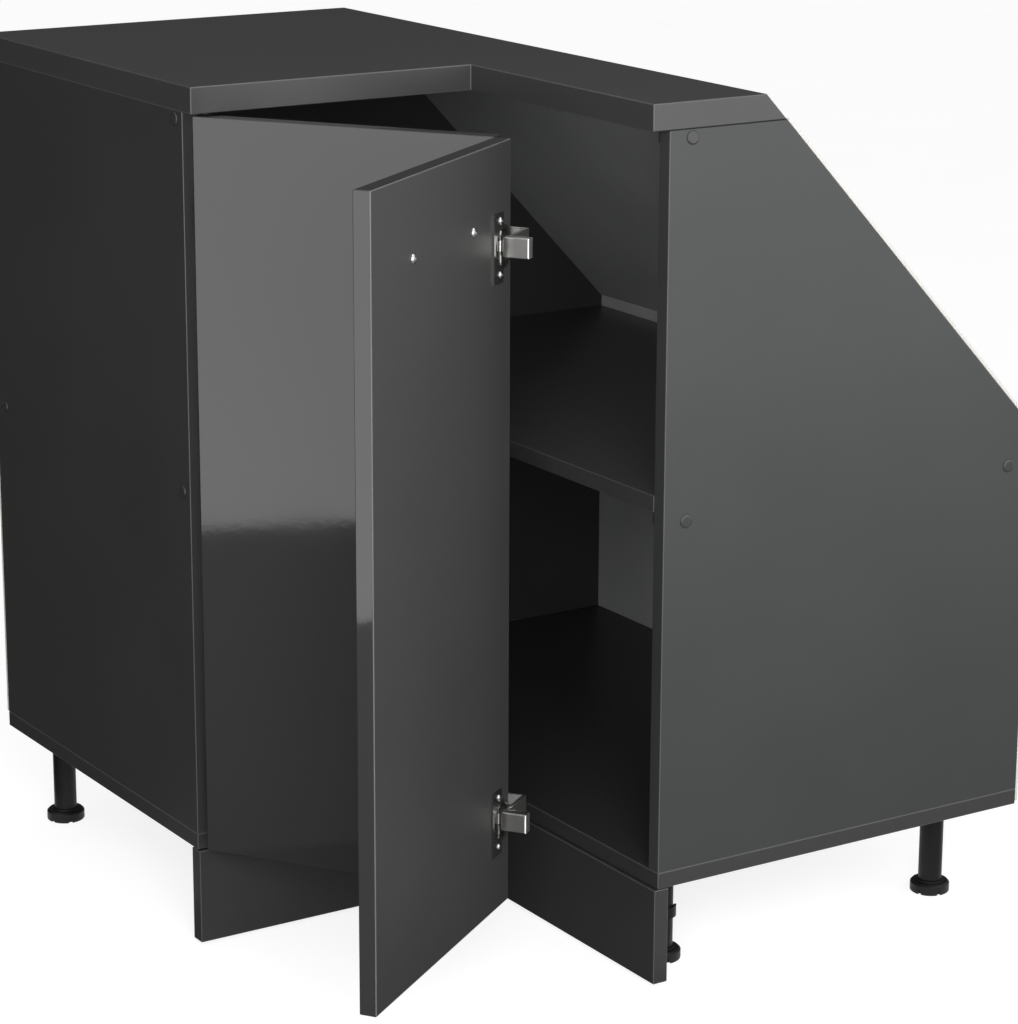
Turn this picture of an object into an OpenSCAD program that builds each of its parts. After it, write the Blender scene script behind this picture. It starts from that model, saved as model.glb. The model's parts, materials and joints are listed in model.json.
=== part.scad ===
// Corner kitchen base cabinet with a sloped rear corner and a two-leaf folding door.
// X runs along the left wing's front, Y runs away from the room, Z is up from the floor.
// The left wing's front-left corner is the drafting corner; place() moves it to the part's origin.

/* [Carcass] */
// Height of the carcass without worktop and legs
carcass_h = 720; // [640:10:800]
// Width from the left side's outer face to the right wing's rear edge
carcass_w = 760; // [700:5:900]
// Depth from the worktop's left front edge to the left side's rear edge
carcass_d = 458; // [400:2:560]
// Thickness of the sides, bottom, shelf and doors
board_t = 16; // [14:1:19]
// Thickness of the thin back sheets
back_t = 3; // [2:0.5:5]
// Thickness of the inner rear wall
rear_wall_t = 10; // [8:1:16]
// Height of the shelf's top above the bottom panel's top
shelf_rise = 365; // [300:5:420]

/* [Worktop] */
// Thickness of the worktop
worktop_t = 25; // [18:1:40]
// Length of the worktop's front edge on the left wing
left_front = 301; // [280:1:360]
// Length of the worktop's front edge on the right wing
right_front = 305; // [280:1:400]

/* [Slope] */
// Distance from the left side to the slope's top edge
slope_top_x = 425.5; // [405:0.5:470]
// Height of the slope measured down from the worktop's top
slope_drop = 352; // [300:1:370]

/* [Door] */
// Gap between the closed leaves and the carcass
door_gap = 2; // [1.5:0.5:4]
// Gap over and beside a leaf
leaf_gap = 1.5; // [1:0.5:4]
// Distance from the left side to the left leaf's turning line
pivot_x = 1; // [0.5:0.5:3]
// How far the door leaves the bottom panel's edge bare
door_lift = 4.5; // [3:0.5:8]
// Width of the right end panel's edge left bare beside the leaf
end_reveal = 9.5; // [6:0.5:12]
// Angle by which the left leaf stands open at rest
door_open = 55; // [40:1:70]

/* [Hinges] */
// Height of the lower hinges above the leaf's bottom edge
hinge_low = 85; // [70:1:120]
// Distance of the upper hinges below the leaf's top edge
hinge_high = 93; // [70:1:120]
// Radius of a hinge cup
cup_r = 17.5; // [13:0.5:17.5]
// Depth of a hinge cup in the leaf
cup_depth = 12; // [11:0.5:12.5]
// Distance from the leaf's edge to the cup's centre
cup_edge = 21.5; // [20:0.5:24]
// Distance between the two screws of a cup
cup_screw_gap = 48; // [45:1:52]
// Radius of the hinge pins
pin_r = 1.5; // [1.2:0.1:2]

/* [Handle] */
// Distance between the handle's two screws
handle_gap = 128; // [96:32:160]
// Distance of the handle below the leaf's top edge
handle_drop = 70; // [40:5:120]
// Distance of the grip bar's axis from the leaf's face
handle_reach = 27; // [24:1:30]
// Radius of the grip bar
handle_r = 5; // [4:0.5:6]

/* [Legs and plinth] */
// Height of the legs
leg_h = 100; // [90:5:150]
// Radius of the leg tube
tube_r = 12; // [10:0.5:16]
// Radius of the screw-in foot
foot_r = 20; // [16:0.5:26]
// Height of the foot's disc
foot_h = 11.5; // [10:0.5:18]
// Thickness of the plinth boards
plinth_t = 16; // [12:1:19]
// Gap between the plinth and the floor
plinth_gap = 4; // [2:1:10]
// How far the plinth stands in front of the carcass edge
plinth_proud = 3.5; // [0:0.5:6]

/* [Battens and fasteners] */
// Height of a batten
batten_h = 16; // [12:1:20]
// Width of a batten
batten_w = 16; // [14:1:20]
// Radius of a screw cover cap
cap_r = 6.5; // [5.5:0.5:8]
// Height of a screw cover cap
cap_h = 1.6; // [0.8:0.2:2]
// Radius of a batten screw
batten_screw_r = 2.5; // [2:0.25:3]

/* [Hidden] */
$fn = 48;
sliver = 0.01;

// Colours
board_grey = [0.27, 0.28, 0.28];
top_grey = [0.24, 0.24, 0.24];
gloss_grey = [0.20, 0.20, 0.21];
sheet_white = [0.82, 0.80, 0.76];
batten_grey = [0.20, 0.20, 0.20];
plastic_black = [0.10, 0.10, 0.10];
nickel = [0.72, 0.72, 0.70];
steel = [0.62, 0.62, 0.62];
birch = [0.78, 0.66, 0.47];

// Levels
bottom_top = leg_h + board_t;
under_z = leg_h + carcass_h;
top_z = under_z + worktop_t;
shelf_top = bottom_top + shelf_rise;
shelf_under = shelf_top - board_t;

// Front planes of the two wings and the inner faces of the walls
overhang = board_t + door_gap;
front_y = overhang;
front_x = left_front + overhang;
end_y = -right_front;
end_in = end_y + board_t;
wall_y = carcass_d - rear_wall_t;
back_y = carcass_d + back_t;
back_x = carcass_w + back_t;

// Slope
slope_run = carcass_w - slope_top_x;
slope_len = norm([slope_run, slope_drop]);
slope_tilt = atan2(slope_run, slope_drop);
knee_z = top_z - slope_drop;
mitre_z = knee_z + back_t * (slope_len - slope_drop) / slope_run;
function slope_x(z) = slope_top_x + (top_z - z) * slope_run / slope_drop;

shelf_end = min(carcass_w, slope_x(shelf_top));

// Door leaves: each leaf's own frame has x from its turning line and y from the outer face inwards
leaf_bottom = leg_h + door_lift;
leaf_top = under_z - leaf_gap;
leaf_h = leaf_top - leaf_bottom;
fold_gap = 0.5;
left_leaf_w = left_front - 1 - pivot_x;
right_leaf_w = right_front - end_reveal;
hinge_z = [leaf_bottom + hinge_low, leaf_top - hinge_high];

// Box round the part at rest, for the origin
fold_at = [pivot_x + left_leaf_w * cos(door_open), -left_leaf_w * sin(door_open)];
free_out = fold_at + right_leaf_w * [-sin(door_open), -cos(door_open)];
free_in = free_out + board_t * [cos(door_open), -sin(door_open)];
box_left = min(0, free_out[0]);
box_front = min(end_y, free_in[1], free_out[1]);
origin = [(box_left + back_x) / 2, (box_front + back_y) / 2];

// Hinge parts
flange_t = 1.5;
flange_r = cup_r + 2.5;
notch_half = 6.2;
wing_h = cup_screw_gap / 2 + 7.5;
wing_half_w = 7;
cup_screw_offset = 5.5;
cup_wall = 1.2;
head_r = 3.6;
head_h = 1.6;
hinge_screw_r = 2;
hinge_screw_len = 11;
plate_hole_x = 37;
plate_hole_z = 16;
plate_t = 2.4;
hump_top = 7;
arm_in = 7.65;
arm_out = 9.15;
arm_wall = arm_out - arm_in;
arm_tail = 66;
pin_clear = 0.08;
eye_r = 3.4;
strap_half = 1.2;
strap_z = 5;
slide_clear = 0.25;
cheek_z = [5.3, 7.3];

// Swing hinge: the arm's pin, the cup's pin and the two links between them form a parallelogram
arm_pin = [board_t + 15, front_y + 11];
cup_pin = [cup_edge + 2, board_t - 6.5];
cup_pin_reach = norm(cup_pin);
cup_pin_angle = atan2(cup_pin[1], cup_pin[0]);
ground = arm_pin - [pivot_x, 0];
ground_len = norm(ground);
ground_angle = atan2(ground[1], ground[0]);

// Fold hinge: a strap turns on the cup's pin and slides in the arm's box
fold_pin = [cup_edge - 5, board_t - 3.5];
fold_box_wall = 1.2;
fold_box_x = [board_t + 2, board_t + 26.5];
fold_box_y = [-norm(fold_pin) - strap_half - slide_clear - fold_box_wall,
              -fold_pin[0] + strap_half + slide_clear + fold_box_wall];
strap_end = fold_box_x[1] - fold_box_wall - slide_clear;
hook_x = [board_t + 3, board_t + 6.5];

// Legs, feet and plinth
clip_reach = 34;
leg_front_y = front_y - plinth_proud + plinth_t + clip_reach;
leg_front_x = front_x - plinth_proud + plinth_t + clip_reach;
LEG_XY = [[42, leg_front_y], [left_front - 31, leg_front_y], [leg_front_x, end_y + 60],
          [carcass_w - 59, end_y + 58], [carcass_w - 59, carcass_d - 46], [42, carcass_d - 46]];
CLIP_XY = [[LEG_XY[0], 0], [LEG_XY[1], 0], [LEG_XY[2], 90]];
leg_plate = 58;
leg_plate_t = 4;
leg_screw_at = 21;
foot_clear = 0.3;
stem_r = 8;
stem_len = 36;
foot_rim_h = 1.8;
foot_rim_r = tube_r + 2;
notch_w = 4.6;
notch_h = 5.8;
plinth_y = front_y - plinth_proud;
plinth_x = front_x - plinth_proud;
plinth_top = leg_h - 1;
plinth_tail = 30;
clip_z = 50;
clip_h = 11;

// Battens
batten_front = 8;
batten_end = 14;
shelf_clear = 0.5;
LEFT_CAPS = [for (y = [front_y + 15, carcass_d - 21], z = [shelf_under, under_z]) [y, z - batten_h / 2]];
RIGHT_CAPS = [[front_x + 25, under_z - batten_h / 2], [front_x + 25, shelf_under - batten_h / 2],
              [shelf_end - 29, shelf_under - batten_h / 2]];
REAR_SCREWS = [[110, shelf_under], [380, shelf_under], [650, shelf_under], [110, under_z], [380, under_z]];
TOP_SCREWS = [[board_t + batten_w / 2, 120], [board_t + batten_w / 2, carcass_d - 110],
              [(front_x + slope_x(under_z)) / 2, end_in + batten_w / 2],
              [170, wall_y - batten_w / 2], [330, wall_y - batten_w / 2]];
screw_len = board_t + batten_w - 3;
screw_clear = 0.1;
counter_r = 5.2;
counter_h = 3;
top_screw_len = batten_h + 12;
DOWELS = [[board_t / 2, front_y + 45], [board_t / 2, carcass_d / 2], [board_t / 2, carcass_d - 45],
          [front_x + 45, end_y + board_t / 2], [(front_x + carcass_w) / 2, end_y + board_t / 2],
          [carcass_w - 45, end_y + board_t / 2]];
dowel_r = 4;
dowel_down = 11;
dowel_up = 18;

// Nails of the back sheets: x and z on the rear, y and z on the right, y and distance down the slope
nail_low = 150;
nail_step = 150;
nail_long_step = 220;
nail_knee = 30;
nail_mid_x = [255, 500];
nail_slope = [40, 210, 380];
REAR_NAILS = [for (x = [board_t / 2, nail_mid_x[0]],
                   z = [nail_low, nail_low + nail_long_step, nail_low + 2 * nail_long_step, under_z - 20]) [x, z]];
SIDE_NAIL_Z = [nail_low, nail_low + nail_step, knee_z - nail_knee];
REAR_NAILS_RIGHT = [for (z = SIDE_NAIL_Z, x = [nail_mid_x[1], carcass_w - 12]) [x, z]];
RIGHT_NAILS = [for (y = [end_y + board_t / 2, carcass_d - rear_wall_t / 2], z = SIDE_NAIL_Z) [y, z]];
SLOPE_NAILS = [for (y = [end_y + board_t / 2, carcass_d - rear_wall_t / 2], d = nail_slope) [y, d]];
nail_r = 0.9;
nail_head_r = 2.5;
nail_head_h = 0.8;
nail_len = back_t + rear_wall_t - 1;

module place() {
    translate([-origin[0], -origin[1], 0]) children();
}

// Solid between two opposite corners
module block(low, high) {
    translate(low) cube(high - low);
}

// Upright board in the XZ plane with the slope cut off its upper right corner
module sloped_slab(x0, z0, y0, t) {
    translate([0, y0 + t, 0]) rotate([90, 0, 0]) linear_extrude(t)
        polygon([[x0, z0], [carcass_w, z0], [carcass_w, knee_z], [slope_x(under_z), under_z], [x0, under_z]]);
}

// L-shaped board: left, front of the left wing, front of the right wing, end, right and rear edge
module corner_board(x0, y_left, x_front, y0, x1, y1, z, t) {
    translate([0, 0, z]) linear_extrude(t)
        polygon([[x0, y_left], [x_front, y_left], [x_front, y0], [x1, y0], [x1, y1], [x0, y1]]);
}

// Cylinder along X, Y or Z from its base point
module rod_x(p, r, len) {
    translate(p) rotate([0, 90, 0]) cylinder(r = r, h = len);
}

module rod_y(p, r, len) {
    translate(p) rotate([-90, 0, 0]) cylinder(r = r, h = len);
}

module rod_z(p, r, len) {
    translate(p) cylinder(r = r, h = len);
}

// Panhead screw whose head rests on z = 0 and whose shank runs down
module screw(head, head_high, shank, len) {
    cylinder(r1 = head, r2 = head * 0.72, h = head_high);
    translate([0, 0, -len]) cylinder(r = shank, h = len + sliver);
}

module worktop() {
    color(top_grey) place() difference() {
        corner_board(0, 0, left_front, end_y, slope_x(under_z), back_y, under_z, worktop_t);
        translate([0, back_y + 1, 0]) rotate([90, 0, 0]) linear_extrude(back_y - end_y + 2)
            polygon([[slope_x(under_z), under_z], [slope_x(under_z) + 1, under_z],
                     [slope_x(under_z) + 1, top_z + 1], [slope_x(top_z + 1), top_z + 1]]);
        for (p = TOP_SCREWS)
            rod_z([p[0], p[1], under_z - 1], hinge_screw_r + screw_clear, top_screw_len - batten_h + 1.5);
    }
}

module dowel_holes() {
    for (p = DOWELS)
        rod_z([p[0], p[1], bottom_top - dowel_down - 0.5], dowel_r + screw_clear, dowel_down + dowel_up + 1);
}

module panel_dowels() {
    color(birch) place() for (p = DOWELS)
        rod_z([p[0], p[1], bottom_top - dowel_down], dowel_r, dowel_down + dowel_up);
}

module left_side_panel() {
    color(board_grey) place() difference() {
        block([0, front_y, bottom_top], [board_t, carcass_d, under_z]);
        for (c = LEFT_CAPS) {
            rod_x([-1, c[0], c[1]], counter_r, counter_h + 1);
            rod_x([-1, c[0], c[1]], batten_screw_r + screw_clear, board_t + 2);
        }
        dowel_holes();
        for (z = hinge_z, side = [-1, 1])
            rod_x([board_t - hinge_screw_len, front_y + plate_hole_x, z + side * plate_hole_z],
                  hinge_screw_r + screw_clear, hinge_screw_len + 1);
        for (n = REAR_NAILS)
            if (n[0] < board_t) rod_y([n[0], carcass_d - nail_len, n[1]], nail_r + screw_clear, nail_len + 1);
    }
}

module right_end_panel() {
    color(board_grey) place() difference() {
        sloped_slab(front_x, bottom_top, end_y, board_t);
        for (c = RIGHT_CAPS) {
            rod_y([c[0], end_y - 1, c[1]], counter_r, counter_h + 1);
            rod_y([c[0], end_y - 1, c[1]], batten_screw_r + screw_clear, board_t + 2);
        }
        dowel_holes();
        right_nail_holes();
    }
}

module bottom_panel() {
    color(board_grey) place() difference() {
        corner_board(0, front_y, front_x, end_y, carcass_w, carcass_d, leg_h, board_t);
        dowel_holes();
        for (p = LEG_XY, dx = [-1, 1], dy = [-1, 1])
            rod_z([p[0] + dx * leg_screw_at, p[1] + dy * leg_screw_at, leg_h - 1],
                  hinge_screw_r + screw_clear, 11.5);
        right_nail_holes();
    }
}

module shelf() {
    color(board_grey) place()
        corner_board(board_t + shelf_clear, front_y, front_x, end_in + shelf_clear,
                     shelf_end - shelf_clear, wall_y - shelf_clear, shelf_under, board_t);
}

module rear_wall_panel() {
    color(board_grey) place() difference() {
        sloped_slab(board_t, bottom_top, wall_y, rear_wall_t);
        for (s = REAR_SCREWS)
            rod_y([s[0], wall_y - 1, s[1] - batten_h / 2], batten_screw_r + screw_clear, rear_wall_t - 1);
        right_nail_holes();
        rear_nail_holes();
    }
}

module rear_back_sheet() {
    color(sheet_white) place() difference() {
        sloped_slab(0, bottom_top, carcass_d, back_t);
        rear_nail_holes();
    }
}

module right_back_sheet() {
    color(sheet_white) place() difference() {
        translate([0, back_y, 0]) rotate([90, 0, 0]) linear_extrude(back_y - end_y)
            polygon([[carcass_w, leg_h + back_t], [back_x, leg_h + back_t], [back_x, mitre_z], [carcass_w, knee_z]]);
        right_nail_holes();
    }
}

module sloped_back_sheet() {
    color(sheet_white) place() difference() {
        translate([0, back_y, 0]) rotate([90, 0, 0]) linear_extrude(back_y - end_y)
            polygon([[slope_x(under_z), under_z], [slope_x(under_z) + back_t * slope_len / slope_drop, under_z],
                     [back_x, mitre_z], [carcass_w, knee_z]]);
        right_nail_holes();
    }
}

// Point and direction of each nail, given to the children as a downward screw axis
module at_rear_nails() {
    for (n = concat(REAR_NAILS, REAR_NAILS_RIGHT))
        translate([n[0], back_y, n[1]]) rotate([-90, 0, 0]) children();
}

module at_right_nails() {
    for (n = RIGHT_NAILS)
        translate([back_x, n[0], n[1]]) rotate([0, 90, 0]) children();
    for (n = SLOPE_NAILS)
        translate([slope_x(under_z), n[0], under_z]) rotate([0, 90 - slope_tilt, 0])
            translate([n[1], 0, back_t]) children();
}

// A nail's head is driven flush with the sheet, so that the cabinet stands flat at the wall
module nail_bore() {
    translate([0, 0, -nail_len]) cylinder(r = nail_r + screw_clear, h = nail_len + 1);
    translate([0, 0, -nail_head_h]) cylinder(r = nail_head_r + screw_clear, h = nail_head_h + 1);
}

module nail() {
    translate([0, 0, -nail_head_h]) cylinder(r = nail_head_r, h = nail_head_h);
    translate([0, 0, 0.5 - nail_len]) cylinder(r = nail_r, h = nail_len - 0.5 - nail_head_h + sliver);
}

module rear_nail_holes() {
    at_rear_nails() nail_bore();
}

module right_nail_holes() {
    at_right_nails() nail_bore();
}

module back_sheet_nails() {
    color(steel) place() {
        at_rear_nails() nail();
        at_right_nails() nail();
    }
}

// Battens carry the shelf and the worktop
module side_batten(z) {
    color(batten_grey) place() difference() {
        block([board_t, front_y + batten_front, z - batten_h], [board_t + batten_w, wall_y - 2, z]);
        for (c = LEFT_CAPS)
            rod_x([board_t - 1, c[0], c[1]], batten_screw_r + screw_clear, screw_len - board_t + 1 + counter_h);
        if (z == under_z) worktop_screw_holes();
    }
}

module end_batten(z, x1) {
    color(batten_grey) place() difference() {
        block([front_x + batten_front + 2, end_in, z - batten_h], [x1, end_in + batten_w, z]);
        for (c = RIGHT_CAPS)
            rod_y([c[0], end_in - 1, c[1]], batten_screw_r + screw_clear, screw_len - board_t + 1 + counter_h);
        if (z == under_z) worktop_screw_holes();
    }
}

module rear_batten(z, x1) {
    color(batten_grey) place() difference() {
        block([board_t + batten_w + 2, wall_y - batten_w, z - batten_h], [x1, wall_y, z]);
        for (s = REAR_SCREWS)
            rod_y([s[0], wall_y - batten_w - 1, s[1] - batten_h / 2], batten_screw_r + screw_clear, batten_w + 2);
        if (z == under_z) worktop_screw_holes();
    }
}

module worktop_screw_holes() {
    for (p = TOP_SCREWS)
        rod_z([p[0], p[1], under_z - batten_h - 1], hinge_screw_r + screw_clear, batten_h + 2);
}

module left_shelf_batten() {
    side_batten(shelf_under);
}

module left_worktop_batten() {
    side_batten(under_z);
}

module right_shelf_batten() {
    end_batten(shelf_under, shelf_end - batten_end);
}

module right_worktop_batten() {
    end_batten(under_z, slope_x(under_z) - batten_end);
}

module rear_shelf_batten() {
    rear_batten(shelf_under, shelf_end - batten_end);
}

module rear_worktop_batten() {
    rear_batten(under_z, slope_x(under_z) - batten_end);
}

module batten_screws() {
    color(steel) place() {
        for (c = LEFT_CAPS) {
            rod_x([0.2, c[0], c[1]], counter_r - screw_clear, counter_h - 0.2);
            rod_x([counter_h - sliver, c[0], c[1]], batten_screw_r, screw_len);
        }
        for (c = RIGHT_CAPS) {
            rod_y([c[0], end_y + 0.2, c[1]], counter_r - screw_clear, counter_h - 0.2);
            rod_y([c[0], end_y + counter_h - sliver, c[1]], batten_screw_r, screw_len);
        }
        for (s = REAR_SCREWS)
            translate([s[0], wall_y - batten_w, s[1] - batten_h / 2]) rotate([90, 0, 0])
                screw(head_r + 1, head_h, batten_screw_r, batten_w + rear_wall_t - 3);
    }
}

module worktop_screws() {
    color(steel) place() for (p = TOP_SCREWS)
        translate([p[0], p[1], under_z - batten_h]) rotate([180, 0, 0])
            screw(head_r + 0.6, head_h, hinge_screw_r, top_screw_len);
}

// Cover cap with a shallow dome, standing on z = 0
module cap() {
    cylinder(r = cap_r, h = cap_h / 2);
    translate([0, 0, cap_h / 2]) cylinder(r1 = cap_r, r2 = cap_r * 0.7, h = cap_h / 2);
}

module cover_caps() {
    color(board_grey) place() {
        for (c = LEFT_CAPS) translate([0, c[0], c[1]]) rotate([0, -90, 0]) cap();
        for (c = RIGHT_CAPS) translate([c[0], end_y, c[1]]) rotate([90, 0, 0]) cap();
    }
}

module left_plinth() {
    color(board_grey) place() difference() {
        block([0, plinth_y, plinth_gap], [plinth_x, plinth_y + plinth_t, plinth_top]);
        plinth_screw_holes();
    }
}

module right_plinth() {
    color(board_grey) place() difference() {
        block([plinth_x, end_y, plinth_gap], [plinth_x + plinth_t, plinth_y + plinth_t + plinth_tail, plinth_top]);
        plinth_screw_holes();
    }
}

// Steel angle in the corner behind the two plinth boards
bracket_t = 2;
bracket_leg = 26;
bracket_z = plinth_top - 30;
bracket_h = 20;

module plinth_corner_bracket() {
    y0 = plinth_y + plinth_t;
    color(steel) place() difference() {
        union() {
            block([plinth_x - bracket_leg, y0, bracket_z], [plinth_x, y0 + bracket_t, bracket_z + bracket_h]);
            block([plinth_x - bracket_t, y0, bracket_z], [plinth_x, y0 + bracket_leg, bracket_z + bracket_h]);
        }
        plinth_screw_holes();
    }
}

module at_plinth_screws() {
    y0 = plinth_y + plinth_t;
    translate([plinth_x - bracket_leg * 0.6, y0 + bracket_t, bracket_z + bracket_h / 2])
        rotate([-90, 0, 0]) children();
    translate([plinth_x - bracket_t, y0 + bracket_leg * 0.6, bracket_z + bracket_h / 2])
        rotate([0, -90, 0]) children();
    for (c = CLIP_XY, side = [-1, 1])
        translate([c[0][0], c[0][1], clip_z]) rotate([0, 0, -c[1]])
            translate([side * 9, clip_base_t - clip_reach, 0]) rotate([-90, 0, 0]) children();
}

module plinth_screw_holes() {
    at_plinth_screws() translate([0, 0, -plinth_t + 3]) cylinder(r = hinge_screw_r + screw_clear, h = plinth_t);
}

module plinth_bracket_screws() {
    color(steel) place() at_plinth_screws() screw(head_r, head_h, hinge_screw_r, 12);
}

// Clip: a split ring snapped round the leg tube, with a neck to a plate screwed on the plinth
clip_base_t = 3;
clip_wall = 3;

module plinth_clips() {
    color(plastic_black) place() for (c = CLIP_XY)
        translate([c[0][0], c[0][1], clip_z]) rotate([0, 0, -c[1]]) difference() {
            union() {
                cylinder(r = tube_r + clip_wall, h = clip_h, center = true);
                block([-5, clip_base_t - clip_reach, -clip_h / 2], [5, -tube_r, clip_h / 2]);
                block([-15, -clip_reach, -clip_h], [15, clip_base_t - clip_reach, clip_h]);
            }
            cylinder(r = tube_r + 0.2, h = clip_h + 2, center = true);
            block([-7, 0, -clip_h], [7, tube_r + 2 * clip_wall, clip_h]);
            for (side = [-1, 1])
                rod_y([side * 9, -clip_reach - 1, 0], hinge_screw_r + screw_clear, clip_base_t + 2);
        }
}

// Leg: plate under the bottom panel, collar and tube with a bore for the foot's stem
module leg(n) {
    color(plastic_black) place() translate([LEG_XY[n][0], LEG_XY[n][1], 0]) difference() {
        union() {
            rod_z([0, 0, foot_h + foot_rim_h + foot_clear], tube_r, leg_h - foot_h - foot_rim_h - foot_clear);
            rod_z([0, 0, leg_h - leg_plate_t - 9], tube_r + 4, 9 + sliver);
            block([-leg_plate / 2, -leg_plate / 2, leg_h - leg_plate_t], [leg_plate / 2, leg_plate / 2, leg_h]);
        }
        rod_z([0, 0, 0], stem_r + foot_clear, foot_h + foot_rim_h + stem_len + 4);
        for (dx = [-1, 1], dy = [-1, 1])
            rod_z([dx * leg_screw_at, dy * leg_screw_at, leg_h - leg_plate_t - 1],
                  hinge_screw_r + screw_clear, leg_plate_t + 2);
    }
}

module leg_screws() {
    color(steel) place() for (p = LEG_XY, dx = [-1, 1], dy = [-1, 1])
        translate([p[0] + dx * leg_screw_at, p[1] + dy * leg_screw_at, leg_h - leg_plate_t])
            rotate([180, 0, 0]) screw(head_r, head_h, hinge_screw_r, 14);
}

// Foot: notched disc with a stem that screws into the leg tube
module foot(n) {
    color(plastic_black) place() translate([LEG_XY[n][0], LEG_XY[n][1], 0]) {
        difference() {
            union() {
                cylinder(r1 = foot_r - 1, r2 = foot_r, h = 1);
                translate([0, 0, 1]) cylinder(r = foot_r, h = foot_h - 3);
                translate([0, 0, foot_h - 2]) cylinder(r1 = foot_r, r2 = foot_r - 2, h = 2);
                translate([0, 0, foot_h - sliver]) cylinder(r = foot_rim_r, h = foot_rim_h + sliver);
            }
            for (a = [0:60:300]) rotate([0, 0, a + 20]) translate([foot_r - 4, 0, 0]) rotate([90, 0, 90])
                linear_extrude(6) polygon([[-notch_w / 2, -sliver], [notch_w / 2, -sliver], [0, notch_h]]);
        }
        translate([0, 0, foot_h + foot_rim_h - sliver]) cylinder(r = stem_r, h = stem_len);
    }
}

// Frames of the two leaves
module in_left_leaf() {
    translate([pivot_x, 0, 0]) rotate([0, 0, -door_open]) children();
}

module at_fold() {
    in_left_leaf() translate([left_leaf_w, 0, 0]) children();
}

module in_right_leaf() {
    at_fold() rotate([0, 0, -90]) children();
}

// Bores of one leaf for the cup and its two screws
module cup_bores(z) {
    rod_y([cup_edge, board_t - cup_depth - 0.1, z], cup_r + screw_clear, cup_depth + 1);
    for (side = [-1, 1])
        rod_y([cup_edge + cup_screw_offset, board_t - hinge_screw_len, z + side * cup_screw_gap / 2],
              hinge_screw_r + screw_clear, hinge_screw_len + 1);
}

module left_door_leaf() {
    color(gloss_grey) place() in_left_leaf() difference() {
        block([0, 0, leaf_bottom], [left_leaf_w - fold_gap, board_t, leaf_top]);
        for (z = hinge_z) {
            cup_bores(z);
            for (side = [-1, 1])
                rod_y([left_leaf_w - plate_hole_x, board_t - hinge_screw_len, z + side * plate_hole_z],
                      hinge_screw_r + screw_clear, hinge_screw_len + 1);
        }
    }
}

module right_door_leaf() {
    color(gloss_grey) place() in_right_leaf() difference() {
        block([fold_gap, 0, leaf_bottom], [right_leaf_w, board_t, leaf_top]);
        for (z = hinge_z) cup_bores(z);
        for (side = [-1, 1])
            rod_y([handle_mid + side * handle_gap / 2, -1, handle_z], hinge_screw_r + screw_clear, board_t + 2);
    }
}

// Cup with its flange, two screw wings, a notch for the link and the pin across it
module hinge_cup(pin) {
    half = sqrt(pow(cup_r - cup_wall, 2) - pow(pin[0] - cup_edge, 2)) + cup_wall / 2;
    difference() {
        union() {
            rod_y([cup_edge, board_t - cup_depth, 0], cup_r, cup_depth);
            rod_y([cup_edge, board_t, 0], flange_r, flange_t);
            block([cup_edge + cup_screw_offset - wing_half_w, board_t, -wing_h],
                  [cup_edge + flange_r, board_t + flange_t, wing_h]);
        }
        rod_y([cup_edge, board_t - cup_depth + cup_wall, 0], cup_r - cup_wall, cup_depth + flange_t);
        block([cup_edge - flange_r - 1, board_t, -notch_half], [cup_edge - 10, board_t + flange_t + 1, notch_half]);
        for (side = [-1, 1])
            rod_y([cup_edge + cup_screw_offset, board_t - 1, side * cup_screw_gap / 2],
                  hinge_screw_r + screw_clear, flange_t + 2);
    }
    rod_z([pin[0], pin[1], -half], pin_r, 2 * half);
}

module cup_screws() {
    for (z = hinge_z, side = [-1, 1])
        translate([cup_edge + cup_screw_offset, board_t + flange_t, z + side * cup_screw_gap / 2])
            rotate([-90, 0, 0]) screw(head_r, head_h, hinge_screw_r, hinge_screw_len);
}

module swing_hinge_cup(z) {
    color(nickel) place() in_left_leaf() translate([0, 0, z]) hinge_cup(cup_pin);
}

module swing_cup_screws() {
    color(steel) place() in_left_leaf() cup_screws();
}

module fold_hinge_cup(z) {
    color(nickel) place() in_right_leaf() translate([0, 0, z]) hinge_cup(fold_pin);
}

module fold_cup_screws() {
    color(steel) place() in_right_leaf() cup_screws();
}

// Frames of the mounting plates: x runs inwards from the front edge, y away from the board
module on_side_panel(z) {
    translate([board_t, front_y, z]) rotate([0, 0, 90]) mirror([0, 1, 0]) children();
}

module on_left_leaf(z) {
    at_fold() translate([0, board_t, z]) mirror([1, 0, 0]) children();
}

module hinge_plate() {
    difference() {
        union() {
            block([24, 0, -8], [60, plate_t, 8]);
            block([plate_hole_x - 7, 0, -plate_hole_z - 7], [plate_hole_x + 7, plate_t, plate_hole_z + 7]);
            block([26, plate_t - sliver, -5], [58, hump_top, 5]);
        }
        for (side = [-1, 1])
            rod_y([plate_hole_x, -1, side * plate_hole_z], hinge_screw_r + screw_clear, plate_t + 2);
    }
}

module plate_screws() {
    for (side = [-1, 1])
        translate([plate_hole_x, plate_t, side * plate_hole_z]) rotate([-90, 0, 0])
            screw(head_r, head_h, hinge_screw_r, hinge_screw_len + plate_t - 1);
}

module swing_hinge_plates() {
    color(nickel) place() for (z = hinge_z) on_side_panel(z) hinge_plate();
}

module swing_plate_screws() {
    color(steel) place() for (z = hinge_z) on_side_panel(z) plate_screws();
}

module fold_hinge_plates() {
    color(nickel) place() for (z = hinge_z) on_left_leaf(z) hinge_plate();
}

module fold_plate_screws() {
    color(steel) place() for (z = hinge_z) on_left_leaf(z) plate_screws();
}

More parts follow.
